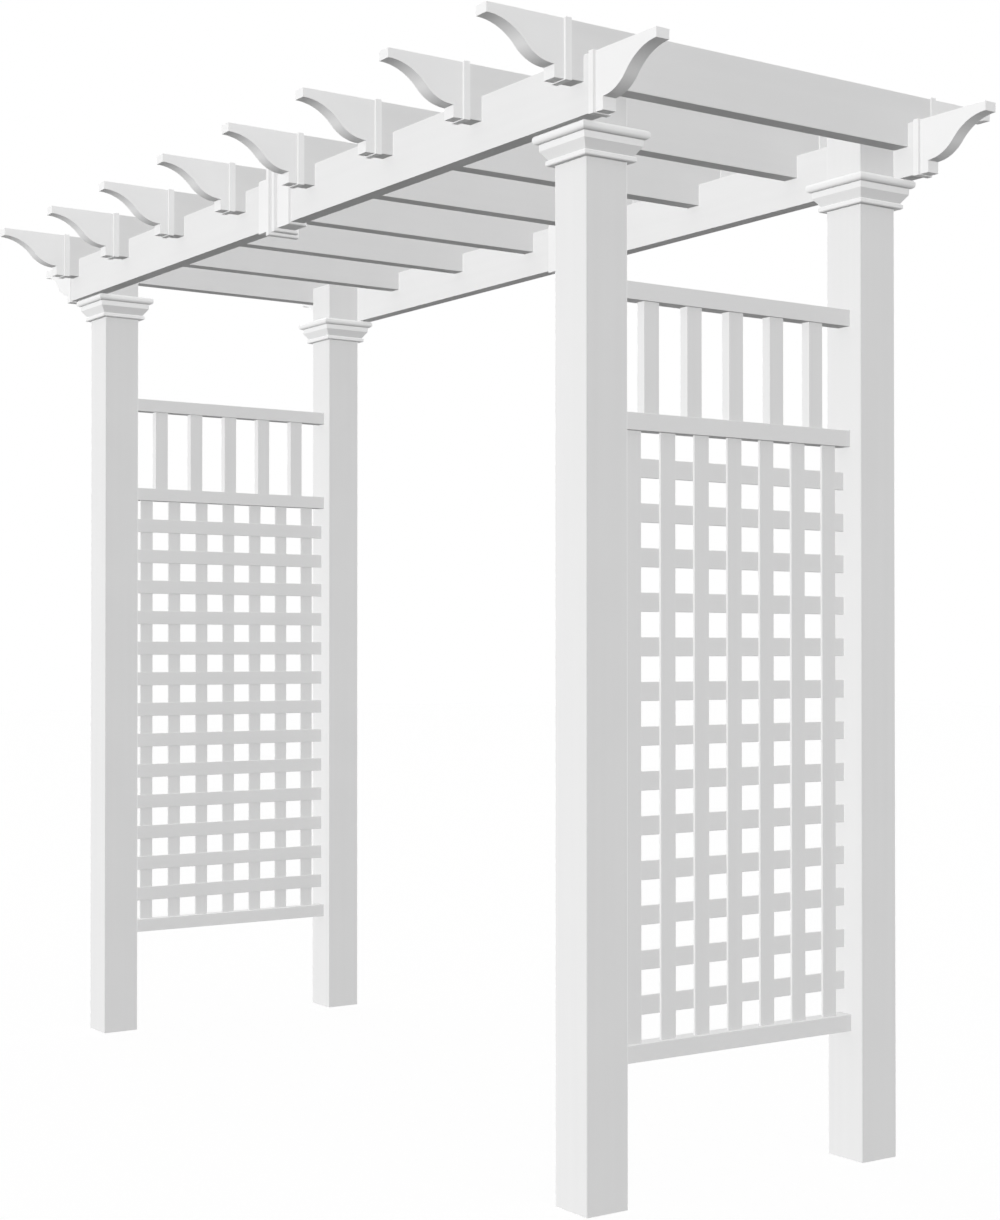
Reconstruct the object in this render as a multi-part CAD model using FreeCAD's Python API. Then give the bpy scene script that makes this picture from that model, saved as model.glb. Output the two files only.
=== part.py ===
import FreeCAD, Part
import math
import os

# Garden arbor of hollow white vinyl, in millimetres.
# X runs along the two beams, Y along the rafters and Z up, from the ground at the centre.
# Left and right are -X and +X, front and back are -Y and +Y.

# Posts
POST_SIDE = 101.6
POST_WALL = 3.8
POST_CORNER = 3.0
POST_SPACING_X = 2225.0
POST_SPACING_Y = 737.0
POST_TOP_DROP = 12.0  # post top below the beam top

# Plugs in the post tops
PLUG_FLANGE = 3.0
PLUG_SPIGOT = 12.0
PLUG_WALL = 2.5
PLUG_CLEARANCE = 0.4

# Capitals round the posts, from the top down
CAPITAL_DROP = 7.0  # below the beams
CAPITAL_TORUS_OVERHANG = 32.0
CAPITAL_TORUS_RADIUS = 7.0
CAPITAL_FASCIA_OVERHANG = 22.5
CAPITAL_FASCIA_HEIGHT = 13.0
CAPITAL_NECK_OVERHANG = 9.0
CAPITAL_TAPER_HEIGHT = 19.0  # fascia to neck
CAPITAL_BEAD_OVERHANG = 14.0
CAPITAL_BEAD_HEIGHT = 11.0
CAPITAL_BEAD_CHAMFER = 2.5
CAPITAL_CLEARANCE = 0.6  # room round the post, filled by the ribs
CAPITAL_RIB_WIDTH = 12.0

# Beams, each in two lengths that meet in a coupler
BEAM_WIDTH = 37.0
BEAM_HEIGHT = 114.3
BEAM_WALL = 3.0
BEAM_BOTTOM = 2100.0
BEAM_CAP_GAP = 16.2  # outer rafter to the beam's end cap

# Couplers: a collar, a step and a flange, one on the other
COUPLER_COLLAR_LENGTH = 150.0
COUPLER_COLLAR_PROUD = 6.5
COUPLER_STEP_LENGTH = 40.0
COUPLER_STEP_PROUD = 15.0
COUPLER_FLANGE_LENGTH = 14.5
COUPLER_FLANGE_PROUD = 23.0
COUPLER_CHAMFER = 2.0
COUPLER_WEB = 6.0  # wall inside, between the beam ends
COUPLER_WEB_LEDGE = 8.0
COUPLER_CLEARANCE = 0.3

# Rafters
RAFTER_COUNT = 8
RAFTER_WIDTH = 40.0
RAFTER_HEIGHT = 113.5
RAFTER_WALL = 2.5
RAFTER_NOTCH = 51.7
RAFTER_NOTCH_CLEARANCE = 0.5
RAFTER_WEB = 2.5  # inner floor that bears on the beam
RAFTER_POST_GAP = 0.9
RAFTER_CAP_GAP = 31.0  # beam to the rafter's end cap

# End caps of beams and rafters
CAP_COLLAR_PROUD = 3.0
CAP_COLLAR_CHAMFER = 0.8
CAP_ENTRY = 12.0  # member inside the collar
CAP_WEB = 3.0  # collar past the member's end
CAP_CLEARANCE = 0.2
CAP_WALL = 2.5
CAP_NOSE_INSET = 3.0  # nose sides, inside the member's
CAP_NOSE_RISE = 1.0  # nose top and underside, past the member's
CAP_NECK = 22.2
CAP_FOOT = 24.3  # foot face, above the member's underside
CAP_TIP = 18.9  # tip face, below the member's top
CAP_OGEE_LENGTH = 155.6
CAP_HOLLOW_RADIUS = 90.0

# Rails of the side panels
RAIL_SIDE = 35.0
RAIL_WALL = 2.5
RAIL_WEB = 2.0
RAIL_ENTRY = 25.0  # into each post
RAIL_CLEARANCE = 0.4
TOP_RAIL_BOTTOM = 1779.3
MID_RAIL_BOTTOM = 1520.9
LOW_RAIL_BOTTOM = 274.0

# Balusters between the top and middle rails
BALUSTER_DEPTH = 22.2
BALUSTER_WIDTH = 38.1
BALUSTER_WALL = 1.6
BALUSTER_PITCH = 112.2
BALUSTER_EDGE_GAP = 50.0  # least gap to a post

# Lattice between the middle and bottom rails
SLAT_WIDTH = 38.1
SLAT_THICKNESS = 6.0
SLAT_PITCH = 88.9
SLAT_EDGE_GAP = 20.0  # least gap to a post or rail
SLAT_END_GAP = 1.0  # cross slat to the post it runs up to
SLOT_CLEARANCE = 0.3  # round a baluster or slat in a rail
TENON_GAP = 2.5  # above a baluster or slat inside a rail

# Screws, which have flat sides and are measured from their axis to a corner
SCREW_SIDES = 6
SCREW_RADIUS = 2.6
SCREW_HEAD_RADIUS = 6.0
SCREW_HEAD_HEIGHT = 3.0
SCREW_CLEARANCE = 0.2
RAFTER_SCREW_LENGTH = 80.0
BEAM_SCREW_LENGTH = 20.0
BEAM_SCREW_INSET = 35.0  # from the beam's top and underside

# Places that follow from the sizes
CUT = 1.0  # cutting tools reach past a face by this
PARALLEL = 0.01  # edges are along an axis if the sine between them is less
HALF_X = POST_SPACING_X / 2
HALF_Y = POST_SPACING_Y / 2
POST_INSIDE = POST_SIDE - 2 * POST_WALL
PANEL_OPENING = POST_SPACING_Y - POST_SIDE
BEAM_Y = HALF_Y + POST_SIDE / 2 + BEAM_WIDTH / 2
BEAM_TOP = BEAM_BOTTOM + BEAM_HEIGHT
POST_TOP = BEAM_TOP - POST_TOP_DROP
RAFTER_BOTTOM = BEAM_TOP - RAFTER_NOTCH
RAFTER_TOP = RAFTER_BOTTOM + RAFTER_HEIGHT
OUTER_RAFTER = HALF_X + POST_SIDE / 2 + RAFTER_POST_GAP + RAFTER_WIDTH / 2
RAFTER_PITCH = 2 * OUTER_RAFTER / (RAFTER_COUNT - 1)
BEAM_END = OUTER_RAFTER + RAFTER_WIDTH / 2 + BEAM_CAP_GAP + CAP_ENTRY
RAFTER_END = BEAM_Y + BEAM_WIDTH / 2 + RAFTER_CAP_GAP + CAP_ENTRY
RAIL_FLOOR = (RAIL_SIDE + RAIL_WEB) / 2  # top of a rail's web above its underside
RAIL_CEILING = (RAIL_SIDE - RAIL_WEB) / 2  # underside of a rail's web

ORIGIN = FreeCAD.Vector(0, 0, 0)
ALONG_X = FreeCAD.Vector(1, 0, 0)
ALONG_Y = FreeCAD.Vector(0, 1, 0)
UP = FreeCAD.Vector(0, 0, 1)
SIDES = {"left": -1, "right": 1}
ENDS = {"front": -1, "back": 1}


def span(middle, width):
    """Low and high limit of a width about its middle."""
    return middle - width / 2, middle + width / 2


def block(x, y, z):
    """Box between a pair of limits on each axis, given in either order."""
    pairs = (x, y, z)
    corner = FreeCAD.Vector(*(min(pair) for pair in pairs))
    size = [abs(pair[1] - pair[0]) for pair in pairs]
    return Part.makeBox(*size, corner)


def edges_along(solid, axis):
    """Straight edges of a block that run along an axis."""
    return [edge for edge in solid.Edges if edge.tangentAt(edge.FirstParameter).cross(axis).Length < PARALLEL]


def edges_round_x(solid):
    """Edges of a block that go round its two faces across X."""
    return edges_along(solid, ALONG_Y) + edges_along(solid, UP)


def row(opening, width, pitch, edge_gap):
    """Centres, about zero, of as many equal pieces as an opening takes at a pitch."""
    count = int((opening - width - 2 * edge_gap) / pitch) + 1
    return [pitch * (index - (count - 1) / 2) for index in range(count)]


def outline(steps):
    """Face in the XZ plane, bounded by lines and arcs.

    A step is the point that a line runs to, or a pair of points that an arc passes and runs to.
    The first step is the starting point, and the last is joined to it by a line.
    """
    def place(point):
        return FreeCAD.Vector(point[0], 0, point[1])

    start = steps[0]
    edges = []
    for step in steps[1:] + steps[:1]:
        if isinstance(step[0], tuple):
            through, end = step
            edges.append(Part.Arc(place(start), place(through), place(end)).toShape())
        else:
            end = step
            edges.append(Part.LineSegment(place(start), place(end)).toShape())
        start = end
    return Part.Face(Part.Wire(edges))


def prism(face, width):
    """Solid of a face in the XZ plane, centred on that plane."""
    solid = face.extrude(ALONG_Y * width)
    solid.translate(ALONG_Y * (-width / 2))
    return solid


def screw_rod(radius, place, heading, low, high):
    """Flat-sided rod along a heading, between two distances from a place."""
    turns = [2 * math.pi * corner / SCREW_SIDES for corner in range(SCREW_SIDES + 1)]
    corners = [FreeCAD.Vector(radius * math.cos(turn), radius * math.sin(turn), low) for turn in turns]
    rod = Part.Face(Part.makePolygon(corners)).extrude(UP * (high - low))
    rod.Placement = FreeCAD.Placement(place, FreeCAD.Rotation(UP, heading))
    return rod


def screw_hole(place, heading, depth):
    """Cutting rod for a screw, from a little before a place to a depth along a heading."""
    return screw_rod(SCREW_RADIUS + SCREW_CLEARANCE, place, heading, -CUT, depth)


def screw(place, heading, length):
    """Screw whose head bears on a place and whose shank runs along a heading."""
    shank = screw_rod(SCREW_RADIUS, place, heading, 0, length)
    head = screw_rod(SCREW_HEAD_RADIUS, place, heading, -SCREW_HEAD_HEIGHT, 0)
    return shank.fuse(head)


def rafter_places():
    """Places of the rafters along the beams, left to right."""
    return [RAFTER_PITCH * index - OUTER_RAFTER for index in range(RAFTER_COUNT)]


def rafter_screw_places(x):
    """Bearing points of a rafter's two screws, on its top over each beam."""
    return [FreeCAD.Vector(x, end * BEAM_Y, RAFTER_TOP) for end in ENDS.values()]


def beam_screw_places(side, end):
    """Bearing points of a post's two beam screws, on the inside of its outer wall."""
    y = end * (HALF_Y + POST_INSIDE / 2)
    heights = (BEAM_BOTTOM + BEAM_SCREW_INSET, BEAM_TOP - BEAM_SCREW_INSET)
    return [FreeCAD.Vector(side * HALF_X, y, z) for z in heights]


def post(side, end):
    """Hollow post with pockets for its panel's rails and holes for its beam's screws."""
    x = side * HALF_X
    y = end * HALF_Y
    tube = block(span(x, POST_SIDE), span(y, POST_SIDE), (0, POST_TOP))
    tube = tube.makeFillet(POST_CORNER, edges_along(tube, UP))
    tools = [block(span(x, POST_INSIDE), span(y, POST_INSIDE), (-CUT, POST_TOP + CUT))]
    face = HALF_Y - POST_SIDE / 2
    through = (end * (face - CUT), end * (face + POST_WALL + CUT))
    for bottom in (TOP_RAIL_BOTTOM, MID_RAIL_BOTTOM, LOW_RAIL_BOTTOM):
        height = (bottom, bottom + RAIL_SIDE + RAIL_CLEARANCE)
        tools.append(block(span(x, RAIL_SIDE + 2 * RAIL_CLEARANCE), through, height))
    for place in beam_screw_places(side, end):
        tools.append(screw_hole(place, ALONG_Y * end, POST_WALL + CUT))
    return tube.cut(tools)


def post_plug(side, end):
    """Flat plug whose flange rests on the post's top and whose hollow spigot enters it."""
    x = side * HALF_X
    y = end * HALF_Y
    flange = block(span(x, POST_SIDE), span(y, POST_SIDE), (POST_TOP, POST_TOP + PLUG_FLANGE))
    flange = flange.makeChamfer(POST_CORNER, edges_along(flange, UP))
    outside = POST_INSIDE - 2 * PLUG_CLEARANCE
    inside = outside - 2 * PLUG_WALL
    spigot = block(span(x, outside), span(y, outside), (POST_TOP - PLUG_SPIGOT, POST_TOP))
    hollow = block(span(x, inside), span(y, inside), (POST_TOP - PLUG_SPIGOT - CUT, POST_TOP))
    return flange.fuse(spigot.cut(hollow)).removeSplitter()


def capital_section():
    """Half of the capital's section, from the post's axis outwards."""
    face = POST_SIDE / 2
    torus = face + CAPITAL_TORUS_OVERHANG
    fascia = face + CAPITAL_FASCIA_OVERHANG
    neck = face + CAPITAL_NECK_OVERHANG
    bead = face + CAPITAL_BEAD_OVERHANG
    top = BEAM_BOTTOM - CAPITAL_DROP
    fascia_high = top - 2 * CAPITAL_TORUS_RADIUS
    fascia_low = fascia_high - CAPITAL_FASCIA_HEIGHT
    bead_high = fascia_low - CAPITAL_TAPER_HEIGHT
    bead_low = bead_high - CAPITAL_BEAD_HEIGHT
    return outline([
        (0, top),
        (torus - CAPITAL_TORUS_RADIUS, top),
        ((torus, top - CAPITAL_TORUS_RADIUS), (torus - CAPITAL_TORUS_RADIUS, fascia_high)),
        (fascia, fascia_high),
        (fascia, fascia_low),
        (neck, bead_high),
        (bead - CAPITAL_BEAD_CHAMFER, bead_high),
        (bead, bead_high - CAPITAL_BEAD_CHAMFER),
        (bead, bead_low + CAPITAL_BEAD_CHAMFER),
        (bead - CAPITAL_BEAD_CHAMFER, bead_low),
        (0, bead_low),
    ])


def capital(side, end):
    """Mitred square moulding round a post, held by ribs inside its hole."""
    reach = POST_SIDE + 2 * CAPITAL_TORUS_OVERHANG
    half = prism(capital_section(), reach)
    run = half.fuse(half.mirror(ORIGIN, ALONG_X)).removeSplitter()
    across = run.copy()
    across.rotate(ORIGIN, UP, 90)
    moulding = run.common(across)
    height = (moulding.BoundBox.ZMin - CUT, moulding.BoundBox.ZMax + CUT)
    room = POST_SIDE + 2 * CAPITAL_CLEARANCE
    hole = block(span(0, room), span(0, room), height)
    ribs = []
    for turn in range(4):
        rib = block((POST_SIDE / 2, room / 2 + CUT), span(0, CAPITAL_RIB_WIDTH), height)
        rib.rotate(ORIGIN, UP, 90 * turn)
        ribs.append(rib)
    moulding = moulding.cut(hole.cut(ribs))
    moulding.translate(FreeCAD.Vector(side * HALF_X, end * HALF_Y, 0))
    return moulding


def beam(side, end):
    """Hollow half beam from its coupler's web to its end cap, drilled for its screws."""
    length = (side * COUPLER_WEB / 2, side * BEAM_END)
    past = (side * (COUPLER_WEB / 2 - CUT), side * (BEAM_END + CUT))
    y = end * BEAM_Y
    tube = block(length, span(y, BEAM_WIDTH), (BEAM_BOTTOM, BEAM_TOP))
    inside = (BEAM_BOTTOM + BEAM_WALL, BEAM_TOP - BEAM_WALL)
    tools = [block(past, span(y, BEAM_WIDTH - 2 * BEAM_WALL), inside)]
    for x in rafter_places():
        if x * side > 0:
            tools.append(screw_hole(FreeCAD.Vector(x, y, BEAM_TOP), UP * -1, BEAM_WALL + CUT))
    for place in beam_screw_places(side, end):
        tools.append(screw_hole(place + ALONG_Y * end * POST_WALL, ALONG_Y * end, BEAM_WALL + CUT))
    return tube.cut(tools)


def beam_coupler(end):
    """Stepped sleeve over the joint of two beam lengths, with a web that their ends meet."""
    y = end * BEAM_Y
    rings = []
    for length, proud in (
        (COUPLER_COLLAR_LENGTH, COUPLER_COLLAR_PROUD),
        (COUPLER_STEP_LENGTH, COUPLER_STEP_PROUD),
        (COUPLER_FLANGE_LENGTH, COUPLER_FLANGE_PROUD),
    ):
        height = (BEAM_BOTTOM - proud, BEAM_TOP + proud)
        ring = block(span(0, length), span(y, BEAM_WIDTH + 2 * proud), height)
        rings.append(ring.makeChamfer(COUPLER_CHAMFER, edges_round_x(ring)))
    sleeve = rings[0].fuse(rings[1:]).removeSplitter()
    width = span(y, BEAM_WIDTH + 2 * COUPLER_CLEARANCE)
    height = (BEAM_BOTTOM - COUPLER_CLEARANCE, BEAM_TOP + COUPLER_CLEARANCE)
    tools = []
    for side in SIDES.values():
        depth = (side * COUPLER_WEB / 2, side * (COUPLER_COLLAR_LENGTH / 2 + CUT))
        tools.append(block(depth, width, height))
    window = span(y, BEAM_WIDTH - 2 * COUPLER_WEB_LEDGE)
    inside = (BEAM_BOTTOM + COUPLER_WEB_LEDGE, BEAM_TOP - COUPLER_WEB_LEDGE)
    tools.append(block(span(0, COUPLER_WEB + 2 * CUT), window, inside))
    return sleeve.cut(tools)


def rafter(x):
    """Hollow rafter with an inner floor, notched from below over both beams."""
    length = (-RAFTER_END, RAFTER_END)
    past = (-RAFTER_END - CUT, RAFTER_END + CUT)
    tube = block(span(x, RAFTER_WIDTH), length, (RAFTER_BOTTOM, RAFTER_TOP))
    inside = span(x, RAFTER_WIDTH - 2 * RAFTER_WALL)
    tools = [
        block(inside, past, (RAFTER_BOTTOM + RAFTER_WALL, BEAM_TOP)),
        block(inside, past, (BEAM_TOP + RAFTER_WEB, RAFTER_TOP - RAFTER_WALL)),
    ]
    notch = BEAM_WIDTH + 2 * RAFTER_NOTCH_CLEARANCE
    for end in ENDS.values():
        over = span(end * BEAM_Y, notch)
        tools.append(block(span(x, RAFTER_WIDTH + 2 * CUT), over, (RAFTER_BOTTOM - CUT, BEAM_TOP)))
    for place in rafter_screw_places(x):
        tools.append(screw_hole(place, UP * -1, RAFTER_TOP - BEAM_TOP + CUT))
    return tube.cut(tools)


def ogee(foot, tip):
    """Angle that an S-curve turns through, and the radius of its round half, from a foot to a tip.

    The curve is level at both ends. Its hollow half has a radius of its own and meets the round half
    where both have turned through the angle.
    """
    run = tip[0] - foot[0]
    turn = 2 * math.atan2(tip[1] - foot[1], run)
    return turn, run / math.sin(turn) - CAP_HOLLOW_RADIUS


def ogee_arcs(foot, tip):
    """Arc steps of a cap's S-curve, hollow and then round."""
    turn, round_radius = ogee(foot, tip)

    def on_hollow(angle):
        rise = CAP_HOLLOW_RADIUS * (1 - math.cos(angle))
        return foot[0] + CAP_HOLLOW_RADIUS * math.sin(angle), foot[1] + rise

    def on_round(angle):
        return tip[0] - round_radius * math.sin(angle), tip[1] - round_radius * (1 - math.cos(angle))

    return [(on_hollow(turn / 2), on_hollow(turn)), (on_round(turn / 2), tip)]


def ogee_lining(foot, tip):
    """Points of a cap's inner floor, which stays at least a wall's thickness above its S-curve."""
    turn, round_radius = ogee(foot, tip)
    inner_radius = CAP_HOLLOW_RADIUS - CAP_WALL
    meeting = (
        foot[0] + inner_radius * math.sin(turn),
        foot[1] + CAP_HOLLOW_RADIUS - inner_radius * math.cos(turn),
    )
    level = tip[1] + CAP_WALL
    bend = (tip[0] - (round_radius + CAP_WALL) * math.tan(turn / 2), level)
    return [(foot[0], foot[1] + CAP_WALL), meeting, bend, (tip[0] - CAP_WALL, level)]


def end_cap(width, height):
    """Moulded cap over the end of a hollow member, with an S-curve under its nose.

    X points out of the member, Y lies across it and Z up, from the bottom edge of its end face.
    The member enters a raised collar and stops at a web, which joins the collar to a narrower, hollow nose.
    """
    foot = (CAP_WEB + CAP_NECK, CAP_FOOT)
    tip = (foot[0] + CAP_OGEE_LENGTH, height - CAP_TIP)
    low = -CAP_NOSE_RISE
    top = height + CAP_NOSE_RISE
    nose_width = width - 2 * CAP_NOSE_INSET
    nose = prism(
        outline([(0, low), (foot[0], low), foot] + ogee_arcs(foot, tip) + [(tip[0], top), (0, top)]),
        nose_width,
    )
    collar = block(
        (-CAP_ENTRY, CAP_WEB),
        span(0, width + 2 * CAP_COLLAR_PROUD),
        (-CAP_COLLAR_PROUD, height + CAP_COLLAR_PROUD),
    )
    collar = collar.makeChamfer(CAP_COLLAR_CHAMFER, edges_round_x(collar))
    room = (-CAP_CLEARANCE, height + CAP_CLEARANCE)
    socket = block((-CAP_ENTRY - CUT, 0), span(0, width + 2 * CAP_CLEARANCE), room)
    floor = low + CAP_WALL
    roof = top - CAP_WALL
    heel = foot[0] - CAP_WALL
    cavity = prism(
        outline(
            [(-CUT, floor), (heel, floor), (heel, foot[1] + CAP_WALL)]
            + ogee_lining(foot, tip)
            + [(tip[0] - CAP_WALL, roof), (-CUT, roof)]
        ),
        nose_width - 2 * CAP_WALL,
    )
    return nose.fuse(collar).cut([socket, cavity]).removeSplitter()


def fitted(shape, place, angle):
    """Copy of a shape, turned about the vertical and set at a place."""
    copy = shape.copy()
    copy.rotate(ORIGIN, UP, angle)
    copy.translate(place)
    return copy


def baluster_places():
    """Places of a panel's balusters along Y."""
    return row(PANEL_OPENING, BALUSTER_WIDTH, BALUSTER_PITCH, BALUSTER_EDGE_GAP)


def upright_places():
    """Places of a panel's upright slats along Y."""
    return row(PANEL_OPENING, SLAT_WIDTH, SLAT_PITCH, SLAT_EDGE_GAP)


def baluster_slots(side, height):
    """Cutting tools for a panel's balusters through one wall of a rail."""
    depth = span(side * HALF_X, BALUSTER_DEPTH + 2 * SLOT_CLEARANCE)
    return [block(depth, span(y, BALUSTER_WIDTH + 2 * SLOT_CLEARANCE), height) for y in baluster_places()]


def upright_slots(side, height):
    """Cutting tools for a panel's upright slats through one wall of a rail."""
    depth = (side * (HALF_X - SLOT_CLEARANCE), side * (HALF_X + SLAT_THICKNESS + SLOT_CLEARANCE))
    return [block(depth, span(y, SLAT_WIDTH + 2 * SLOT_CLEARANCE), height) for y in upright_places()]


def top_wall(bottom):
    """Height of a cut through the top wall of a rail."""
    return bottom + RAIL_SIDE - RAIL_WALL - CUT, bottom + RAIL_SIDE + CUT


def bottom_wall(bottom):
    """Height of a cut through the bottom wall of a rail."""
    return bottom - CUT, bottom + RAIL_WALL + CUT


def rail(side, bottom, slots):
    """Square tube with a middle web, whose ends rest in the posts' pockets."""
    x = side * HALF_X
    length = PANEL_OPENING + 2 * RAIL_ENTRY
    tube = block(span(x, RAIL_SIDE), span(0, length), (bottom, bottom + RAIL_SIDE))
    inside = span(x, RAIL_SIDE - 2 * RAIL_WALL)
    past = span(0, length + 2 * CUT)
    chambers = [
        block(inside, past, (bottom + RAIL_WALL, bottom + RAIL_CEILING)),
        block(inside, past, (bottom + RAIL_FLOOR, bottom + RAIL_SIDE - RAIL_WALL)),
    ]
    return tube.cut(chambers + slots)


def balusters(side):
    """Hollow uprights that stand on the middle rail's web and enter the top rail."""
    x = side * HALF_X
    height = (MID_RAIL_BOTTOM + RAIL_FLOOR, TOP_RAIL_BOTTOM + RAIL_CEILING - TENON_GAP)
    past = (height[0] - CUT, height[1] + CUT)
    pieces = []
    for y in baluster_places():
        tube = block(span(x, BALUSTER_DEPTH), span(y, BALUSTER_WIDTH), height)
        depth = span(x, BALUSTER_DEPTH - 2 * BALUSTER_WALL)
        pieces.append(tube.cut(block(depth, span(y, BALUSTER_WIDTH - 2 * BALUSTER_WALL), past)))
    return pieces


def lattice_uprights(side):
    """Flat slats on the outer face, from the bottom rail's web up into the middle rail."""
    depth = (side * HALF_X, side * (HALF_X + SLAT_THICKNESS))
    height = (LOW_RAIL_BOTTOM + RAIL_FLOOR, MID_RAIL_BOTTOM + RAIL_CEILING - TENON_GAP)
    return [block(depth, span(y, SLAT_WIDTH), height) for y in upright_places()]


def lattice_crosses(side):
    """Flat slats on the inner face, joined to the uprights and running up to both posts."""
    depth = (side * (HALF_X - SLAT_THICKNESS), side * HALF_X)
    length = span(0, PANEL_OPENING - 2 * SLAT_END_GAP)
    low = LOW_RAIL_BOTTOM + RAIL_SIDE
    opening = MID_RAIL_BOTTOM - low
    middle = low + opening / 2
    places = row(opening, SLAT_WIDTH, SLAT_PITCH, SLAT_EDGE_GAP)
    return [block(depth, length, span(middle + place, SLAT_WIDTH)) for place in places]


def save(name, *shapes):
    """Write one named piece, or a group of like pieces, to its own file."""
    solids = [solid for shape in shapes for solid in shape.Solids]
    if not all(solid.isValid() for solid in solids):
        raise ValueError(name + " has a solid that is not valid")
    node = solids[0] if len(solids) == 1 else Part.makeCompound(solids)
    node.exportStep("parts/" + name + ".step")


def save_corner_pieces():
    """Posts with their plugs and capitals, and the half beams with their end caps."""
    beam_cap = end_cap(BEAM_WIDTH, BEAM_HEIGHT)
    for side_name, side in SIDES.items():
        for end_name, end in ENDS.items():
            corner = end_name + "_" + side_name
            place = FreeCAD.Vector(side * BEAM_END, end * BEAM_Y, BEAM_BOTTOM)
            save("post_" + corner, post(side, end))
            save("post_plug_" + corner, post_plug(side, end))
            save("capital_" + corner, capital(side, end))
            save("beam_" + corner, beam(side, end))
            save("beam_cap_" + corner, fitted(beam_cap, place, 90 - 90 * side))


def save_rafters():
    """Rafters with a cap on each end."""
    rafter_cap = end_cap(RAFTER_WIDTH, RAFTER_HEIGHT)
    for number, x in enumerate(rafter_places(), start=1):
        save(f"rafter_{number}", rafter(x))
        for end_name, end in ENDS.items():
            place = FreeCAD.Vector(x, end * RAFTER_END, RAFTER_BOTTOM)
            save(f"rafter_cap_{end_name}_{number}", fitted(rafter_cap, place, 90 * end))


def save_panels():
    """Rails, balusters and lattice of both side panels."""
    for name, side in SIDES.items():
        top_slots = baluster_slots(side, bottom_wall(TOP_RAIL_BOTTOM))
        mid_slots = baluster_slots(side, top_wall(MID_RAIL_BOTTOM))
        mid_slots += upright_slots(side, bottom_wall(MID_RAIL_BOTTOM))
        low_slots = upright_slots(side, top_wall(LOW_RAIL_BOTTOM))
        save("top_rail_" + name, rail(side, TOP_RAIL_BOTTOM, top_slots))
        save("middle_rail_" + name, rail(side, MID_RAIL_BOTTOM, mid_slots))
        save("bottom_rail_" + name, rail(side, LOW_RAIL_BOTTOM, low_slots))
        save("balusters_" + name, *balusters(side))
        save("lattice_uprights_" + name, *lattice_uprights(side))
        save("lattice_crosses_" + name, *lattice_crosses(side))


def save_couplers_and_screws():
    """Beam couplers, and the screws that hold rafters to beams and beams to posts."""
    for name, end in ENDS.items():
        save("beam_coupler_" + name, beam_coupler(end))
    places = [place for x in rafter_places() for place in rafter_screw_places(x)]
    save("rafter_screws", *[screw(place, UP * -1, RAFTER_SCREW_LENGTH) for place in places])
    beam_screws = []
    for side in SIDES.values():
        for end in ENDS.values():
            for place in beam_screw_places(side, end):
                beam_screws.append(screw(place, ALONG_Y * end, BEAM_SCREW_LENGTH))
    save("beam_screws", *beam_screws)


os.makedirs("parts", exist_ok=True)
save_corner_pieces()
save_rafters()
save_panels()
save_couplers_and_screws()
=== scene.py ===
"""Looks of a white vinyl garden arbor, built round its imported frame."""

import logging
import math
from collections.abc import Iterable
from dataclasses import dataclass
from enum import Enum

import bpy
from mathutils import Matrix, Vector

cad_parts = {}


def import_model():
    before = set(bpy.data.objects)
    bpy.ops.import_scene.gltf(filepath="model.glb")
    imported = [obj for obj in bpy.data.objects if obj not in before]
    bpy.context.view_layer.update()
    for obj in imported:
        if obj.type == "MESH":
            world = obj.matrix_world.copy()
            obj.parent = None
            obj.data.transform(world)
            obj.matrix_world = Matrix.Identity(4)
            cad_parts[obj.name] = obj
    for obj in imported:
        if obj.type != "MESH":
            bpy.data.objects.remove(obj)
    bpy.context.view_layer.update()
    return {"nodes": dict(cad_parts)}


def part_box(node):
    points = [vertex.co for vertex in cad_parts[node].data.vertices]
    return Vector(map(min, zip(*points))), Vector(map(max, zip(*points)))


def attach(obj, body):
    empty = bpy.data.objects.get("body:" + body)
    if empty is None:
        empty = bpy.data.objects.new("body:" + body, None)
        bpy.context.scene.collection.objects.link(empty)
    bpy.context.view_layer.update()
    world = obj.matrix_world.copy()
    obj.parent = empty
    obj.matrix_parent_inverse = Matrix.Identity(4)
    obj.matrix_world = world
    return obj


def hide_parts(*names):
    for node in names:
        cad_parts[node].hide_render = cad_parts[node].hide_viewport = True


LOG = logging.getLogger("arbor")
BODY = "root"
SAME_WAY = 0.99  # least cosine between two ways that count as one
SAME_HEIGHT = 1e-5
NOISE_LOW = 0.3  # most of a noise lies between these two
NOISE_HIGH = 0.7

Triple = tuple[float, float, float]
Color = tuple[float, float, float, float]
Nodes = dict[str, bpy.types.Object]
Pieces = list[bpy.types.Object]


class Run(Enum):
    """Direction in which a profile left its die, as the stretch of its lines on each axis."""

    ALONG_X = (0.02, 1.0, 1.0)
    ALONG_Y = (1.0, 0.02, 1.0)
    ALONG_Z = (1.0, 1.0, 0.02)


class Slot(Enum):
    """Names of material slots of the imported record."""

    MOULDED = "moulded_vinyl"
    STEEL = "stainless_screws"


def grey(level: float) -> Color:
    """Make an opaque grey."""
    return (level, level, level, 1.0)


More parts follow.
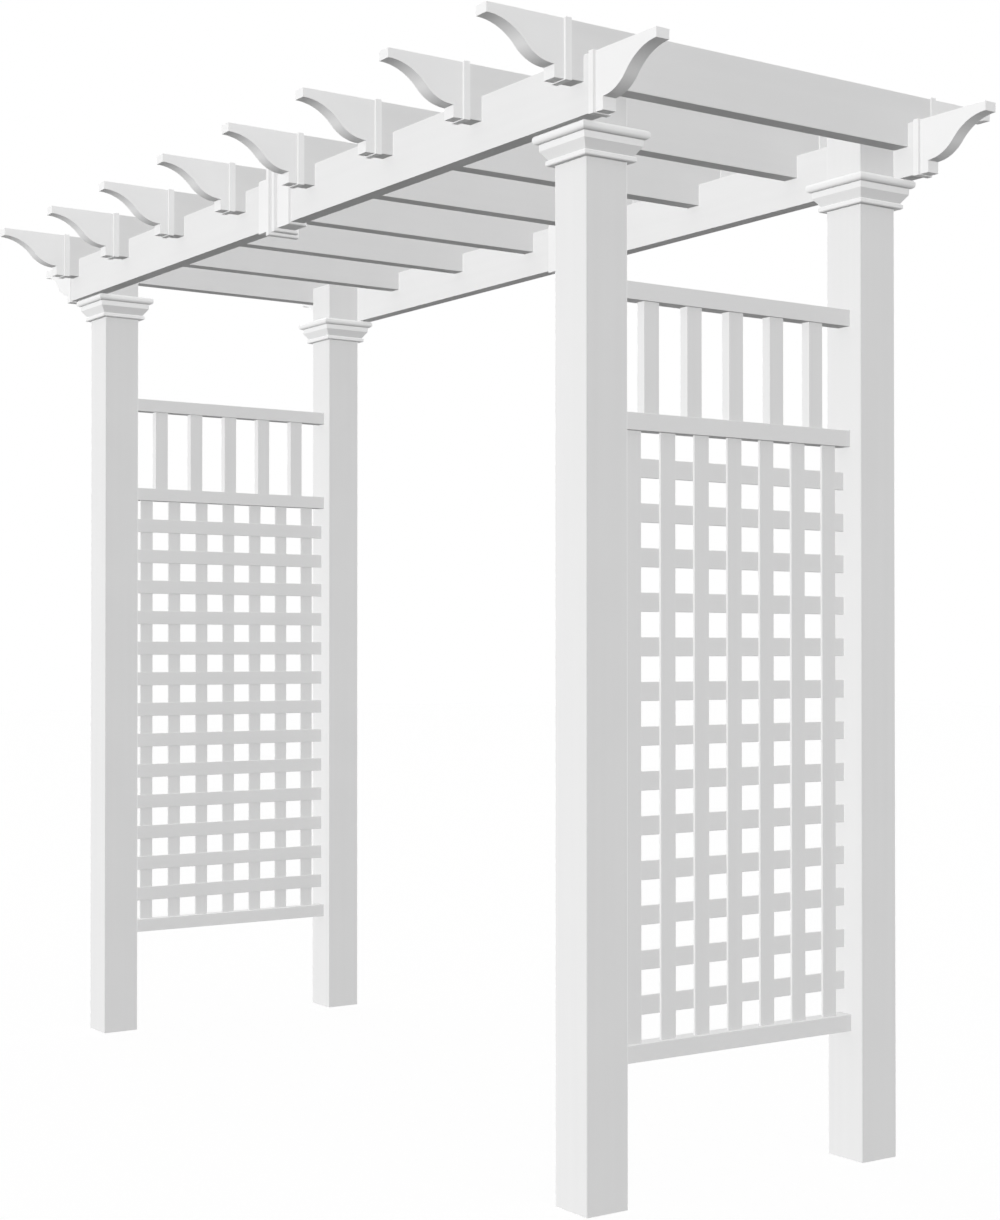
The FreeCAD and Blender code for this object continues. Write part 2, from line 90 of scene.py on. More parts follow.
class NodeTree:
    """Short way to add, set and link the nodes of one tree."""

    def __init__(self, tree: bpy.types.NodeTree) -> None:
        """Hold a tree, emptied of its default nodes.

        Args:
            tree: the node tree to fill.
        """
        self.tree = tree
        tree.nodes.clear()

    def add(self, kind: str, values: dict[str, object] | None = None, **settings: object) -> bpy.types.Node:
        """Add a node.

        Args:
            kind: the node's type name, where a shader node's goes without its "ShaderNode" prefix.
            values: default values by input name.
            settings: the node's own properties, which are set first.

        Returns:
            The new node.
        """
        node = self.tree.nodes.new(kind if kind.startswith("NodeGroup") else "ShaderNode" + kind)
        for name, value in settings.items():
            setattr(node, name, value)
        for name, value in (values or {}).items():
            node.inputs[name].default_value = value
        return node

    def link(self, source: bpy.types.NodeSocket, target: bpy.types.NodeSocket) -> None:
        """Link an output to an input."""
        self.tree.links.new(source, target)

    def math(
        self,
        operation: str,
        first: bpy.types.NodeSocket | float,
        second: bpy.types.NodeSocket | float,
    ) -> bpy.types.NodeSocket:
        """Add a math node with two inputs.

        Args:
            operation: the node's operation.
            first: a number, or the output to link.
            second: a number, or the output to link.

        Returns:
            The node's output.
        """
        node = self.add("Math", operation=operation)
        for socket, value in zip(node.inputs, (first, second)):
            if isinstance(value, bpy.types.NodeSocket):
                self.link(value, socket)
            else:
                socket.default_value = value
        return node.outputs[0]

    def spread(self, value: bpy.types.NodeSocket, low: float, high: float) -> bpy.types.NodeSocket:
        """Stretch the middle of a noise over a range.

        Args:
            value: the noise.
            low: what its low end becomes.
            high: what its high end becomes.

        Returns:
            The stretched value.
        """
        ends = {"From Min": NOISE_LOW, "From Max": NOISE_HIGH, "To Min": low, "To Max": high}
        node = self.add("MapRange", ends)
        self.link(value, node.inputs["Value"])
        return node.outputs[0]


class SurfaceEffects:
    """Node groups that the finishes share."""

    def __init__(self) -> None:
        """Build each group once."""
        self.lines = self.build_die_lines()
        self.skin = self.build_skin()

    @staticmethod
    def new_group(name: str, inputs: Iterable[tuple[str, str]], outputs: Iterable[str]) -> NodeTree:
        """Make a shader group with named sockets.

        Args:
            name: the group's name.
            inputs: pairs of an input's name and its type.
            outputs: names of the outputs, which are all values.

        Returns:
            The group's tree, without nodes.
        """
        group = bpy.data.node_groups.new(name, "ShaderNodeTree")
        for label, kind in inputs:
            group.interface.new_socket(label, in_out="INPUT", socket_type="NodeSocket" + kind)
        for label in outputs:
            group.interface.new_socket(label, in_out="OUTPUT", socket_type="NodeSocketFloat")
        return NodeTree(group)

    def build_die_lines(self) -> bpy.types.NodeTree:
        """Make the faint lines that a die leaves along a profile.

        Returns:
            The group, from a place to a height and a tint.
        """
        inputs = (
            ("Place", "Vector"),
            ("Stretch", "Vector"),
            ("Fine Scale", "Float"),
            ("Broad Scale", "Float"),
        )
        tree = self.new_group("die lines", inputs, ("Height", "Tint"))
        given = tree.add("NodeGroupInput")
        made = tree.add("NodeGroupOutput")
        stretched = tree.add("VectorMath", operation="MULTIPLY")
        tree.link(given.outputs["Place"], stretched.inputs[0])
        tree.link(given.outputs["Stretch"], stretched.inputs[1])
        fine = tree.add("TexNoise", {"Detail": 2.0, "Roughness": 0.6})
        broad = tree.add("TexNoise", {"Detail": 1.0})
        for node, scale in ((fine, "Fine Scale"), (broad, "Broad Scale")):
            tree.link(stretched.outputs[0], node.inputs["Vector"])
            tree.link(given.outputs[scale], node.inputs["Scale"])
        tree.link(tree.math("ADD", fine.outputs["Fac"], broad.outputs["Fac"]), made.inputs["Height"])
        tree.link(broad.outputs["Fac"], made.inputs["Tint"])
        return tree.tree

    def build_skin(self) -> bpy.types.NodeTree:
        """Make the slight unevenness of a vinyl or steel skin.

        Returns:
            The group, from a place to a fine pebble and a broad mottle.
        """
        inputs = (("Place", "Vector"), ("Pebble Scale", "Float"), ("Mottle Scale", "Float"))
        tree = self.new_group("skin", inputs, ("Pebble", "Mottle"))
        given = tree.add("NodeGroupInput")
        made = tree.add("NodeGroupOutput")
        pebble = tree.add("TexNoise", {"Detail": 3.0, "Roughness": 0.55})
        mottle = tree.add("TexNoise", {"Detail": 4.0, "Roughness": 0.5, "Distortion": 0.4})
        for node, label in ((pebble, "Pebble"), (mottle, "Mottle")):
            tree.link(given.outputs["Place"], node.inputs["Vector"])
            tree.link(given.outputs[label + " Scale"], node.inputs["Scale"])
            tree.link(node.outputs["Fac"], made.inputs[label])
        return tree.tree


@dataclass(frozen=True)
class Finish:
    """What every finish has: two close tints, a range of roughness, a fine pebble and a broad mottle."""

    name: str
    light: Triple
    dark: Triple
    smoothest: float
    roughest: float
    pebble_scale: float
    pebble_depth: float
    mottle_scale: float
    bump_strength: float = 0.5

    def start(self, values: dict[str, float]) -> tuple[bpy.types.Material, NodeTree, bpy.types.Node]:
        """Make a material with its shader.

        Args:
            values: what is the same all over the surface, by the shader's input names.

        Returns:
            The material, its tree and its shader.
        """
        material = bpy.data.materials.new(self.name)
        material.use_nodes = True
        tree = NodeTree(material.node_tree)
        out = tree.add("OutputMaterial")
        shader = tree.add("BsdfPrincipled", values)
        tree.link(shader.outputs[0], out.inputs["Surface"])
        return material, tree, shader

    def add_skin(
        self,
        tree: NodeTree,
        effects: SurfaceEffects,
        place: bpy.types.NodeSocket,
        shader: bpy.types.Node,
    ) -> bpy.types.Node:
        """Add the unevenness of the skin, which also sets the roughness.

        Args:
            tree: the material's tree.
            effects: the shared node groups.
            place: the place on the piece.
            shader: the material's shader.

        Returns:
            The group's node, with its pebble and its mottle.
        """
        scales = {"Pebble Scale": self.pebble_scale, "Mottle Scale": self.mottle_scale}
        skin = tree.add("Group", scales, node_tree=effects.skin)
        tree.link(place, skin.inputs["Place"])
        rough = tree.spread(skin.outputs["Mottle"], self.roughest, self.smoothest)
        tree.link(rough, shader.inputs["Roughness"])
        return skin

    def add_tint(self, tree: NodeTree, share: bpy.types.NodeSocket) -> bpy.types.NodeSocket:
        """Mix the two tints.

        Args:
            tree: the material's tree.
            share: a noise that tells how much of the light tint shows.

        Returns:
            The colour.
        """
        tints = {"A": (*self.dark, 1.0), "B": (*self.light, 1.0)}
        mixed = tree.add("Mix", tints, data_type="RGBA")
        tree.link(tree.spread(share, 0.0, 1.0), mixed.inputs["Factor"])
        return mixed.outputs["Result"]

    def add_bump(
        self,
        tree: NodeTree,
        height: bpy.types.NodeSocket,
        depth: float,
        below: bpy.types.NodeSocket | None = None,
    ) -> bpy.types.NodeSocket:
        """Raise the surface by a height.

        Args:
            tree: the material's tree.
            height: the height, in parts of the depth.
            depth: how far a height of 1 stands out.
            below: the normal of a bump that this one lies on.

        Returns:
            The bumped normal.
        """
        bump = tree.add("Bump", {"Strength": self.bump_strength, "Distance": depth})
        tree.link(height, bump.inputs["Height"])
        if below is not None:
            tree.link(below, bump.inputs["Normal"])
        return bump.outputs[0]


@dataclass(frozen=True)
class VinylFinish(Finish):
    """Satin white vinyl which, on a profile, has the lines of its die."""

    pebble_scale: float = 900.0
    pebble_depth: float = 0.00002
    mottle_scale: float = 5.0
    run: Run | None = None
    fine_lines: float = 420.0
    broad_lines: float = 50.0
    line_depth: float = 0.00003
    refraction: float = 1.53
    gloss: float = 0.2
    thrown_light: float = 0.3  # share of its light that a piece throws on its neighbours

    def build(self, effects: SurfaceEffects) -> bpy.types.Material:
        """Make the material.

        Args:
            effects: the shared node groups.

        Returns:
            The new material.
        """
        material, tree, shader = self.start({"IOR": self.refraction, "Specular IOR Level": self.gloss})
        place = tree.add("TexCoord").outputs["Object"]
        skin = self.add_skin(tree, effects, place, shader)
        share = skin.outputs["Mottle"]
        normal = self.add_bump(tree, skin.outputs["Pebble"], self.pebble_depth)
        if self.run:
            scales = {"Fine Scale": self.fine_lines, "Broad Scale": self.broad_lines}
            lines = tree.add("Group", {"Stretch": self.run.value, **scales}, node_tree=effects.lines)
            tree.link(place, lines.inputs["Place"])
            share = tree.math("DIVIDE", tree.math("ADD", share, lines.outputs["Tint"]), 2.0)
            normal = self.add_bump(tree, lines.outputs["Height"], self.line_depth, normal)
        tree.link(self.dim_thrown(tree, self.add_tint(tree, share)), shader.inputs["Base Color"])
        tree.link(normal, shader.inputs["Normal"])
        return material

    def dim_thrown(self, tree: NodeTree, color: bpy.types.NodeSocket) -> bpy.types.NodeSocket:
        """Darken what neighbours receive from a colour, and not the colour itself.

        Args:
            tree: the material's tree.
            color: the colour.

        Returns:
            The colour, which is darker for diffuse rays.
        """
        share = {"B": grey(self.thrown_light)}
        thrown = tree.add("Mix", share, data_type="RGBA", blend_type="MULTIPLY")
        tree.link(tree.add("LightPath").outputs["Is Diffuse Ray"], thrown.inputs["Factor"])
        tree.link(color, thrown.inputs["A"])
        return thrown.outputs["Result"]


@dataclass(frozen=True)
class SteelFinish(Finish):
    """Plain stainless steel, slightly dulled."""

    pebble_scale: float = 2500.0
    pebble_depth: float = 0.00001
    mottle_scale: float = 300.0

    def build(self, effects: SurfaceEffects) -> bpy.types.Material:
        """Make the material.

        Args:
            effects: the shared node groups.

        Returns:
            The new material.
        """
        material, tree, shader = self.start({"Metallic": 1.0})
        skin = self.add_skin(tree, effects, tree.add("TexCoord").outputs["Object"], shader)
        tree.link(self.add_tint(tree, skin.outputs["Mottle"]), shader.inputs["Base Color"])
        normal = self.add_bump(tree, skin.outputs["Pebble"], self.pebble_depth)
        tree.link(normal, shader.inputs["Normal"])
        return material


class Finishes:
    """Every finish on the arbor, made once."""

    WHITE = ((0.875, 0.875, 0.875), (0.855, 0.855, 0.855))
    BRIGHT_WHITE = ((0.945, 0.945, 0.945), (0.93, 0.93, 0.93))
    STEEL = ((0.66, 0.66, 0.67), (0.56, 0.56, 0.57))

    def __init__(self) -> None:
        """Make the materials."""
        effects = SurfaceEffects()
        moulded = VinylFinish("moulded vinyl", *self.BRIGHT_WHITE, smoothest=0.42, roughest=0.5, gloss=0.5)
        steel = SteelFinish("stainless steel", *self.STEEL, smoothest=0.24, roughest=0.4)
        self.upright = self.profile("extruded vinyl, upright", Run.ALONG_Z).build(effects)
        self.lengthwise = self.profile("extruded vinyl, lengthwise", Run.ALONG_X).build(effects)
        self.crosswise = self.profile("extruded vinyl, crosswise", Run.ALONG_Y).build(effects)
        self.moulded = moulded.build(effects)
        self.steel = steel.build(effects)

    def profile(self, name: str, run: Run) -> VinylFinish:
        """Describe the vinyl of an extruded profile.

        Args:
            name: the material's name.
            run: the direction of its die lines.

        Returns:
            The finish.
        """
        return VinylFinish(name, *self.WHITE, smoothest=0.58, roughest=0.68, run=run)


def pick(piece: bpy.types.Object) -> None:
    """Make a piece the only one selected, and the active one.

    Args:
        piece: the piece to work on.
    """
    bpy.ops.object.select_all(action="DESELECT")
    piece.select_set(True)
    bpy.context.view_layer.objects.active = piece


def pick_faces(piece: bpy.types.Object, way: Vector, height: float) -> None:
    """Select only the faces that look one way at a height, in edit mode.

    Args:
        piece: the mesh object being edited.
        way: the way that the faces look.
        height: the height of their middles.
    """
    bpy.ops.mesh.select_all(action="DESELECT")
    bpy.ops.object.mode_set(mode="OBJECT")
    for face in piece.data.polygons:
        face.select = face.normal.dot(way) > SAME_WAY and abs(face.center.z - height) < SAME_HEIGHT
    bpy.ops.object.mode_set(mode="EDIT")


def raise_faces(rise: float, growth: float = 1.0) -> None:
    """Extrude the selected faces upwards, in edit mode.

    Args:
        rise: how far they go, which is less than 0 for downwards.
        growth: how much wider they are in the end.
    """
    bpy.ops.mesh.extrude_region_move(TRANSFORM_OT_translate={"value": (0, 0, rise)})
    bpy.ops.transform.resize(value=(growth, growth, 1))


def cut_block(piece: bpy.types.Object, middle: Triple, size: Triple) -> None:
    """Cut a square-cornered recess or hole into a piece.

    Args:
        piece: the piece to cut.
        middle: the middle of what is cut away.
        size: its lengths.
    """
    bpy.ops.object.select_all(action="DESELECT")
    bpy.ops.mesh.primitive_cube_add(size=1, location=middle)
    cutter = bpy.context.object
    cutter.scale = size
    bpy.ops.object.transform_apply(location=True, scale=True)
    pick(piece)
    cut = piece.modifiers.new("cut", "BOOLEAN")
    cut.operation = "DIFFERENCE"
    cut.object = cutter
    bpy.ops.object.modifier_apply(modifier=cut.name)
    bpy.data.objects.remove(cutter)


def place_copy(
    pattern: bpy.types.Object,
    name: str,
    place: Vector,
    node: str,
) -> bpy.types.Object:
    """Put a copy of a piece, with its own mesh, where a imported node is.

    Args:
        pattern: the piece, modelled at the origin.
        name: the copy's name.
        place: where the pattern's origin goes.
        node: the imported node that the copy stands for.

    Returns:
        The copy.
    """
    pick(pattern)
    bpy.ops.object.duplicate()
    piece = bpy.context.object
    piece.name = name
    piece.location = place
    bpy.ops.object.transform_apply(location=True, rotation=False, scale=False)
    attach(piece, BODY)
    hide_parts(node)
    return piece


@dataclass(frozen=True)
class SoftEdge:
    """Rounding that a die or mould leaves on the corners of a piece."""

    radius: float
    segments: int = 2
    sharpest_kept: float = math.radians(32)
    weld_reach: float = 1e-5
    flat_angle: float = math.radians(0.5)

    def soften(self, piece: bpy.types.Object) -> None:
        """Round a piece's corners by modifiers that leave its own mesh alone.

        Args:
            piece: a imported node, or a new piece.
        """
        weld = piece.modifiers.new("weld", "WELD")
        weld.merge_threshold = self.weld_reach
        flat = piece.modifiers.new("flat faces", "DECIMATE")
        flat.decimate_type = "DISSOLVE"
        flat.angle_limit = self.flat_angle
        bevel = piece.modifiers.new("soft edge", "BEVEL")
        bevel.width = self.radius
        bevel.segments = self.segments
        bevel.limit_method = "ANGLE"
        bevel.angle_limit = self.sharpest_kept
        bevel.loop_slide = False  # with it, faces round a hole can fold over
        normals = piece.modifiers.new("flat shading", "WEIGHTED_NORMAL")
        normals.keep_sharp = True

    def soften_for_good(self, piece: bpy.types.Object) -> None:
        """Round a new piece's corners in its mesh.

        Args:
            piece: a piece that isn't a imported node.
        """
        pick(piece)
        bpy.ops.object.shade_smooth()
        self.soften(piece)
        for name in [modifier.name for modifier in piece.modifiers]:
            bpy.ops.object.modifier_apply(modifier=name)


def dress_nodes(
    nodes: Nodes,
    starts: tuple[str, ...],
    material: bpy.types.Material,
    edge: SoftEdge,
) -> Pieces:
    """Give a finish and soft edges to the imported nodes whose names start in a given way.

    Args:
        nodes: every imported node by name.
        starts: how the wanted names start.
        material: the finish.
        edge: the rounding of their corners.

    Returns:
        The dressed nodes.
    """
    pieces = [piece for name, piece in nodes.items() if name.startswith(starts)]
    for piece in pieces:
        piece.data.materials.clear()
        piece.data.materials.append(material)
        edge.soften(piece)
    return pieces


@dataclass
class CornerPosts:
    """Posts with their top plugs, and the capitals round them."""

    nodes: Nodes
    post_edge: SoftEdge = SoftEdge(0.0006)
    plug_edge: SoftEdge = SoftEdge(0.0006)
    capital_edge: SoftEdge = SoftEdge(0.00025, sharpest_kept=math.radians(20))
    bead_overhang: float = 0.0130  # overhangs are past the post's face
    bead_chamfer: float = 0.0020
    bead_height: float = 0.011
    neck_overhang: float = 0.0080
    taper_height: float = 0.019
    fascia_foot: float = 0.0218
    fascia_overhang: float = 0.0225
    fascia_height: float = 0.013
    roll_overhang: float = 0.032
    roll_under: float = 0.008  # radius below its flat face
    roll_face: float = 0.003
    roll_over: float = 0.007  # radius above it
    roll_steps: int = 6

    def dress(self, finishes: Finishes) -> Pieces:
        """Give the finishes.

        Args:
            finishes: every finish on the arbor.

        Returns:
            The dressed nodes.
        """
        return [
            *dress_nodes(self.nodes, ("post_front", "post_back"), finishes.upright, self.post_edge),
            *dress_nodes(self.nodes, ("post_plug",), finishes.moulded, self.plug_edge),
        ]

    def build(self, finishes: Finishes) -> Pieces:
        """Model one capital and copy it to every post.

        Args:
            finishes: every finish on the arbor.

        Returns:
            The capitals.
        """
        post_low, post_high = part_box("post_front_right")
        pattern = self.build_capital(post_high[0] - post_low[0])
        pattern.data.materials.append(finishes.moulded)
        capitals = []
        for node in [name for name in self.nodes if name.startswith("capital_")]:
            low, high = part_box(node)
            place = Vector(((low[0] + high[0]) / 2, (low[1] + high[1]) / 2, low[2]))
            capitals.append(place_copy(pattern, "moulded_" + node, place, node))
        bpy.data.objects.remove(pattern)
        return capitals

    def capital_profile(self) -> list[tuple[float, float]]:
        """Trace the outer face of a capital upwards: bead, taper, fascia and roll.

        Returns:
            Pairs of an overhang past the post's face and a height.
        """
        bead_inner = self.bead_overhang - self.bead_chamfer
        fascia_low = self.bead_height + self.taper_height
        fascia_high = fascia_low + self.fascia_height
        profile = [
            (bead_inner, 0.0),
            (self.bead_overhang, self.bead_chamfer),
            (self.bead_overhang, self.bead_height - self.bead_chamfer),
            (bead_inner, self.bead_height),
            (self.neck_overhang, self.bead_height),
            (self.fascia_foot, fascia_low),
            (self.fascia_overhang, fascia_high),
        ]
        face_low = fascia_high + self.roll_under
        face_high = face_low + self.roll_face
        for radius, height, first in ((self.roll_under, face_low, -1), (self.roll_over, face_high, 0)):
            for step in range(self.roll_steps + 1):
                turn = math.pi / 2 * (first + step / self.roll_steps)
                overhang = self.roll_overhang + radius * (math.cos(turn) - 1)
                profile.append((overhang, height + radius * math.sin(turn)))
        return profile

    def build_capital(self, post_side: float) -> bpy.types.Object:
        """Model a capital from a square that grows and shrinks on its way up, with a hole for the post.

        Args:
            post_side: the post's width.

        Returns:
            The capital, standing at the origin.
        """
        profile = self.capital_profile()
        bpy.ops.object.select_all(action="DESELECT")
        bpy.ops.mesh.primitive_plane_add(size=post_side + 2 * profile[0][0])
        piece = bpy.context.object
        bpy.ops.object.mode_set(mode="EDIT")
        bpy.ops.mesh.select_all(action="SELECT")
        for (overhang, height), (next_overhang, next_height) in zip(profile, profile[1:]):
            growth = (post_side + 2 * next_overhang) / (post_side + 2 * overhang)
            raise_faces(next_height - height, growth)
        bpy.ops.mesh.select_all(action="SELECT")
        bpy.ops.mesh.normals_make_consistent(inside=False)
        bpy.ops.object.mode_set(mode="OBJECT")
        top = profile[-1][1]
        cut_block(piece, (0, 0, top / 2), (post_side, post_side, 2 * top))
        self.capital_edge.soften_for_good(piece)
        return piece


@dataclass
class Beams:
    """Beams with their couplers, end caps and hidden screws."""

    nodes: Nodes
    beam_edge: SoftEdge = SoftEdge(0.0013)
    mould_edge: SoftEdge = SoftEdge(0.0005)
    screw_edge: SoftEdge = SoftEdge(0.0003)

    def dress(self, finishes: Finishes) -> Pieces:
        """Give the finishes.

        Args:
            finishes: every finish on the arbor.

        Returns:
            The dressed nodes.
        """
        return [
            *dress_nodes(self.nodes, ("beam_front", "beam_back"), finishes.lengthwise, self.beam_edge),
            *dress_nodes(self.nodes, ("beam_cap", "beam_coupler"), finishes.moulded, self.mould_edge),
            *dress_nodes(self.nodes, ("beam_screws",), finishes.steel, self.screw_edge),
        ]


@dataclass
class SidePanels:
    """Rails, balusters and lattice between the posts on each side."""

    nodes: Nodes
    rail_edge: SoftEdge = SoftEdge(0.0009)
    baluster_edge: SoftEdge = SoftEdge(0.0007)
    slat_edge: SoftEdge = SoftEdge(0.0009)

    def dress(self, finishes: Finishes) -> Pieces:
        """Give the finishes.

        Args:
            finishes: every finish on the arbor.

        Returns:
            The dressed nodes.
        """
        rails = ("top_rail", "middle_rail", "bottom_rail")
        return [
            *dress_nodes(self.nodes, rails, finishes.crosswise, self.rail_edge),
            *dress_nodes(self.nodes, ("balusters",), finishes.upright, self.baluster_edge),
            *dress_nodes(self.nodes, ("lattice_uprights",), finishes.upright, self.slat_edge),
            *dress_nodes(self.nodes, ("lattice_crosses",), finishes.crosswise, self.slat_edge),
        ]


@dataclass
class Rafters:
    """Rafters with their end caps, and the screws through their tops."""

    nodes: Nodes
    rafter_edge: SoftEdge = SoftEdge(0.0013)
    cap_edge: SoftEdge = SoftEdge(0.0005)
    screw_sides: int = 24
    screw_smooth: float = math.radians(35)
    head_radius: float = 0.0058
    head_height: float = 0.0028
    head_round: float = 0.0016
    head_steps: int = 4
    drive_side: float = 0.0030
    drive_depth: float = 0.0016
    shank_radius: float = 0.0024
    shank_length: float = 0.074
    tip_length: float = 0.005
    tip_share: float = 0.1  # of the shank's radius

    def members(self) -> tuple[str, ...]:
        """Name the rafters, without their caps and screws."""
        return tuple(name for name in self.nodes if name.removeprefix("rafter_").isdigit())

    def dress(self, finishes: Finishes) -> Pieces:
        """Give the finishes.

        Args:
            finishes: every finish on the arbor.

        Returns:
            The dressed nodes.
        """
        return [
            *dress_nodes(self.nodes, ("rafter_cap",), finishes.moulded, self.cap_edge),
            *dress_nodes(self.nodes, self.members(), finishes.crosswise, self.rafter_edge),
        ]

    def screw_places(self) -> list[Vector]:
        """Find where the screws' heads bear.

        Returns:
            A point on top of each rafter over each beam.
        """
        beams = [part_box(name) for name in ("beam_front_left", "beam_back_left")]
        places = []
        for low, high in map(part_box, self.members()):
            for beam_low, beam_high in beams:
                places.append(Vector(((low[0] + high[0]) / 2, (beam_low[1] + beam_high[1]) / 2, high[2])))
        return places

    def build(self, finishes: Finishes) -> Pieces:
        """Model one screw and copy it to every place.

        Args:
            finishes: every finish on the arbor.

        Returns:
            The screws.
        """
        pattern = self.build_screw()
        pattern.data.materials.append(finishes.steel)
        screws = []
        for number, place in enumerate(self.screw_places(), start=1):
            screws.append(place_copy(pattern, f"rafter_screw_{number}", place, "rafter_screws"))
        bpy.data.objects.remove(pattern)
        return screws

    def build_screw(self) -> bpy.types.Object:
        """Model a pan-head screw with a square drive, its head bearing at the origin.

        Returns:
            The screw, with its shank downwards.
        """
        bpy.ops.object.select_all(action="DESELECT")
        bpy.ops.mesh.primitive_cylinder_add(
            vertices=self.screw_sides,
            radius=self.head_radius,
            depth=self.head_height,
            location=(0, 0, self.head_height / 2),
        )
        piece = bpy.context.object
        bpy.ops.object.transform_apply(location=True)
        bpy.ops.object.mode_set(mode="EDIT")
        bpy.ops.mesh.select_mode(type="FACE")
        pick_faces(piece, Vector((0, 0, 1)), self.head_height)
        bpy.ops.mesh.region_to_loop()
        bpy.ops.mesh.bevel(offset=self.head_round, segments=self.head_steps, affect="EDGES")
        bpy.ops.mesh.select_mode(type="FACE")
        pick_faces(piece, Vector((0, 0, -1)), 0)
        bpy.ops.mesh.inset(thickness=self.head_radius - self.shank_radius)
        raise_faces(-self.shank_length)
        raise_faces(-self.tip_length, self.tip_share)
        bpy.ops.object.mode_set(mode="OBJECT")
        recess = (self.drive_side, self.drive_side, 2 * self.drive_depth)
        cut_block(piece, (0, 0, self.head_height), recess)
        bpy.ops.object.shade_smooth_by_angle(angle=self.screw_smooth)
        return piece


@dataclass(frozen=True)
class Lamp:
    """Broad lamp whose light goes round the pieces without hard shadows."""

    name: str
    toward: Triple  # from the arbor, as long as the share of white that it gives a face turned to it
    mirrored: bool = True  # whether glossy faces show it: one that lies along a side would whiten it
    angle: float = math.radians(16)

    def build(self) -> None:
        """Make the lamp."""
        toward = Vector(self.toward)
        lamp = bpy.data.lights.new(self.name, "SUN")
        lamp.energy = math.pi * toward.length
        lamp.angle = self.angle
        lamp.use_shadow = False
        holder = bpy.data.objects.new(self.name, lamp)
        holder.rotation_euler = toward.to_track_quat("Z", "Y").to_euler()
        holder.visible_glossy = self.mirrored
        bpy.context.scene.collection.objects.link(holder)


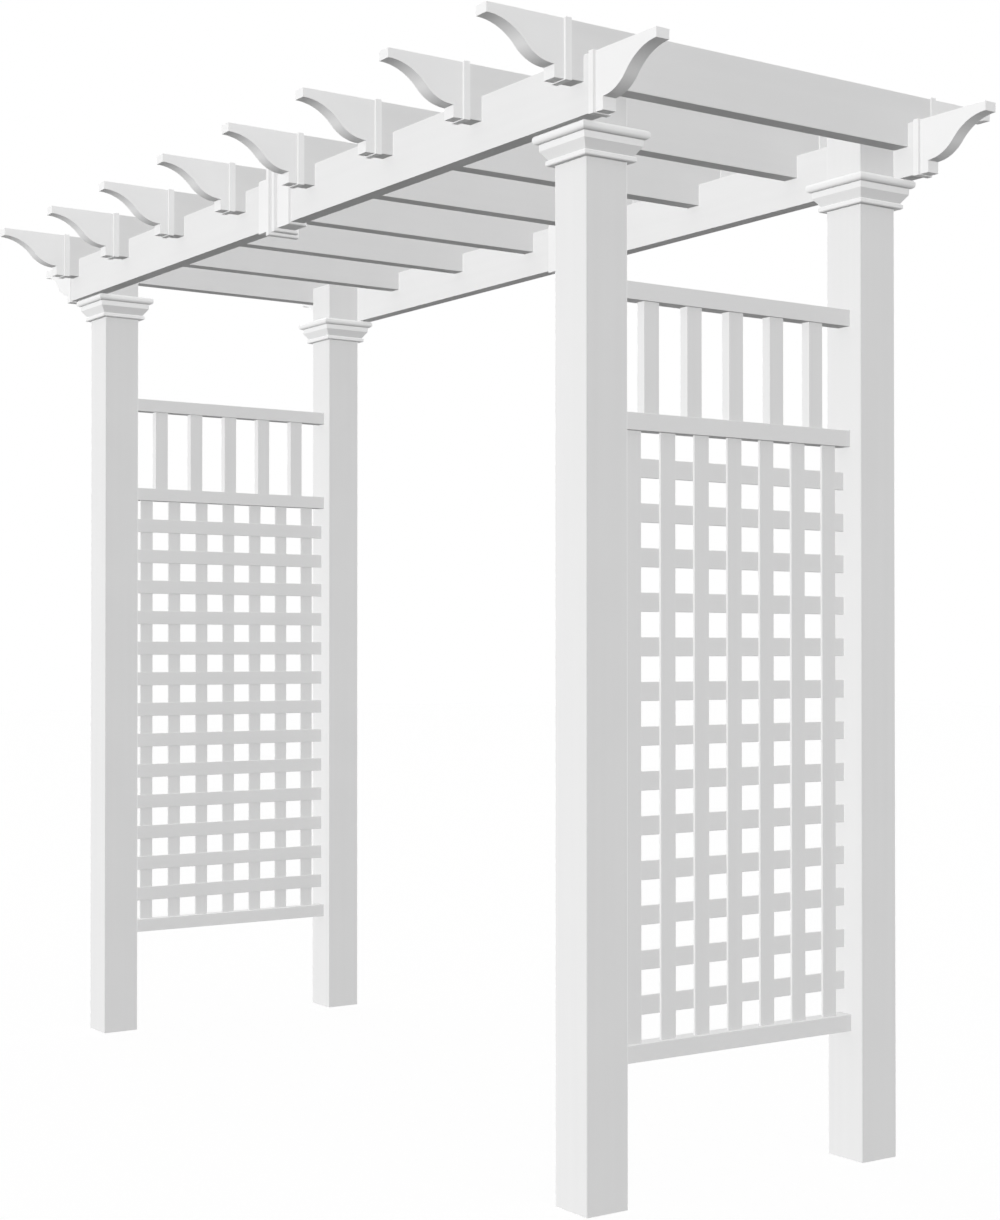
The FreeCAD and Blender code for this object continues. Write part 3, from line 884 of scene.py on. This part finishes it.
@dataclass
class Studio:
    """Floor, lamps, background and camera."""

    floor_size: float = 60.0
    floor_drop: float = 0.0005
    floor_bounce: float = 0.19
    floor_diffuse: float = 0.45
    floor_glow: float = 0.62
    ambient: float = 0.25
    lamps: tuple[Lamp, ...] = (
        Lamp("front lamp", (-0.20, -0.755, 0.05), mirrored=False),
        Lamp("right lamp", (0.42, 0.125, 0.04)),
        Lamp("back lamp", (0.05, 0.45, 0.08), mirrored=False),
        Lamp("left lamp", (-0.30, 0.06, 0.08)),
        Lamp("top lamp", (0.0, 0.0, 0.33)),
    )
    image_width: int = 1000
    image_height: int = 1220
    focal_pixels: float = 1995.1
    axis_x: float = 450.1
    axis_y: float = 630.7
    camera_place: Triple = (4.1904, -2.7707, 1.0843)
    camera_yaw: float = math.radians(56.078)
    camera_pitch: float = math.radians(0.584)

    def build(self) -> None:
        """Make all of the studio."""
        self.build_floor()
        self.build_world()
        for lamp in self.lamps:
            lamp.build()
        self.build_camera()

    @staticmethod
    def join_by_ray(tree: NodeTree, light: bpy.types.Node, shown: bpy.types.Node) -> bpy.types.NodeSocket:
        """Light the arbor with one shader and show another.

        Args:
            tree: the material or world to add the nodes to.
            light: the shader for rays that carry light.
            shown: the shader for camera, glossy and transmission rays.

        Returns:
            The joined shader.
        """
        path = tree.add("LightPath")
        seen = tree.math("MAXIMUM", path.outputs["Is Camera Ray"], path.outputs["Is Glossy Ray"])
        mix = tree.add("MixShader")
        tree.link(tree.math("MAXIMUM", seen, path.outputs["Is Transmission Ray"]), mix.inputs["Fac"])
        tree.link(light.outputs[0], mix.inputs[1])
        tree.link(shown.outputs[0], mix.inputs[2])
        return mix.outputs[0]

    def build_floor(self) -> None:
        """Make a pale floor that shows white and keeps the arbor's soft shadow."""
        bpy.ops.object.select_all(action="DESELECT")
        bpy.ops.mesh.primitive_plane_add(size=self.floor_size, location=(0, 0, -self.floor_drop))
        floor = bpy.context.object
        floor.name = "floor"
        material = bpy.data.materials.new("pale floor")
        material.use_nodes = True
        tree = NodeTree(material.node_tree)
        out = tree.add("OutputMaterial")
        bounce = tree.add("BsdfDiffuse", {"Color": grey(self.floor_bounce)})
        shaded = tree.add("BsdfDiffuse", {"Color": grey(self.floor_diffuse)})
        glow = tree.add("Emission", {"Strength": self.floor_glow})
        white = tree.add("AddShader")
        tree.link(shaded.outputs[0], white.inputs[0])
        tree.link(glow.outputs[0], white.inputs[1])
        tree.link(self.join_by_ray(tree, bounce, white), out.inputs["Surface"])
        floor.data.materials.append(material)

    def build_world(self) -> None:
        """Make a background that shows white and lights the arbor evenly."""
        world = bpy.data.worlds.new("studio")
        bpy.context.scene.world = world
        world.use_nodes = True
        tree = NodeTree(world.node_tree)
        out = tree.add("OutputWorld")
        ambient = tree.add("Background", {"Color": grey(1.0), "Strength": self.ambient})
        white = tree.add("Background", {"Color": grey(1.0), "Strength": 1.0})
        tree.link(self.join_by_ray(tree, ambient, white), out.inputs["Surface"])

    def build_camera(self) -> None:
        """Make the camera that saw the arbor."""
        lens = bpy.data.cameras.new("camera")
        longest = max(self.image_width, self.image_height)
        lens.lens = self.focal_pixels * lens.sensor_width / longest
        lens.shift_x = (self.image_width / 2 - self.axis_x) / longest
        lens.shift_y = (self.axis_y - self.image_height / 2) / longest
        holder = bpy.data.objects.new("camera", lens)
        holder.location = self.camera_place
        holder.rotation_euler = (math.pi / 2 + self.camera_pitch, 0, self.camera_yaw)
        bpy.context.scene.collection.objects.link(holder)
        bpy.context.scene.camera = holder


def main() -> None:
    """Load the frame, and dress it."""
    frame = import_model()
    bpy.context.scene.view_settings.view_transform = "Standard"
    nodes: Nodes = frame["nodes"]
    finishes = Finishes()
    posts = CornerPosts(nodes)
    rafters = Rafters(nodes)
    pieces = posts.dress(finishes) + posts.build(finishes)
    pieces += Beams(nodes).dress(finishes)
    pieces += SidePanels(nodes).dress(finishes)
    pieces += rafters.dress(finishes) + rafters.build(finishes)
    for piece in pieces:
        LOG.info("%s: %s", piece.name, piece.data.materials[0].name)
    Studio().build()


if __name__ == "__main__":
    logging.basicConfig(format="%(name)s: %(message)s")
    LOG.setLevel(logging.INFO)
    main()
